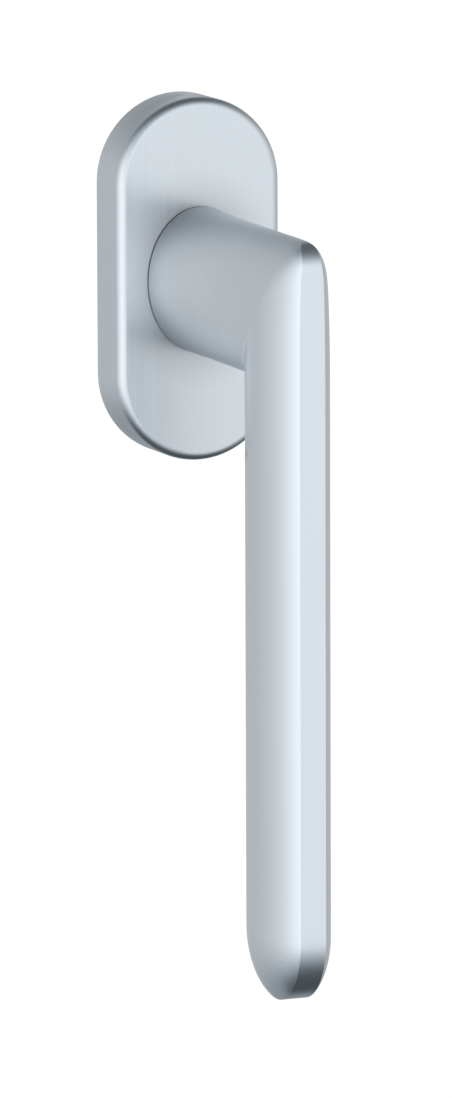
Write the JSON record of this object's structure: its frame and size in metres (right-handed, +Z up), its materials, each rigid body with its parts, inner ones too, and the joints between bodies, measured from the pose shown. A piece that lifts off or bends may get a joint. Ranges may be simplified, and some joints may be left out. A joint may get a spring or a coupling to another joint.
{
  "type": "tilt and turn window handle",
  "caption": "Window handle with a stadium rose, an oval neck and a long vertical grip that turns through half a turn.",
  "frame": {"origin": "on the spindle axis, in the rose's mounting face", "axes": "+Y into the sash, so the handle projects to -Y; +Z up, with the lever hanging down to -Z when closed; +X to the right of someone facing the handle"},
  "size_m": [0.0334, 0.0955, 0.1668],
  "materials": {
    "satin_rose": "satin chrome, fine vertical brushing",
    "satin_lever": "satin chrome",
    "dark_plastic": "matt",
    "die_cast_zinc": "as cast",
    "zinc_plated_steel": "bright zinc plated",
    "white_acetal": "moulded",
    "spring_steel": "bright",
    "machined_steel": "turned",
    "blackened_steel": "blackened"
  },
  "bodies": {
    "rose": {"rose_cover": "satin_rose", "base_plate": "die_cast_zinc", "cap_plate": "zinc_plated_steel", "cap_screws": "zinc_plated_steel", "front_bush": "white_acetal", "rear_bush": "white_acetal", "detent_spring_left": "spring_steel", "detent_spring_right": "spring_steel", "fixing_screw_upper": "zinc_plated_steel", "fixing_screw_lower": "zinc_plated_steel", "cover_clip_upper": "spring_steel", "cover_clip_lower": "spring_steel"},
    "lever": {"lever_body": "satin_lever", "hub": "machined_steel", "spindle": "zinc_plated_steel", "spindle_pin": "spring_steel", "grub_screw": "blackened_steel", "thrust_washer": "white_acetal", "disc_spring": "spring_steel", "slide_ring": "dark_plastic"}
  },
  "joints": [
    {"name": "lever_turn", "type": "hinge", "parent": "rose", "child": "lever", "pos_m": [0, 0, 0], "axis": [0, -1, 0], "range_deg": [0, 180], "deforming": ["detent_spring_left", "detent_spring_right"]}
  ]
}
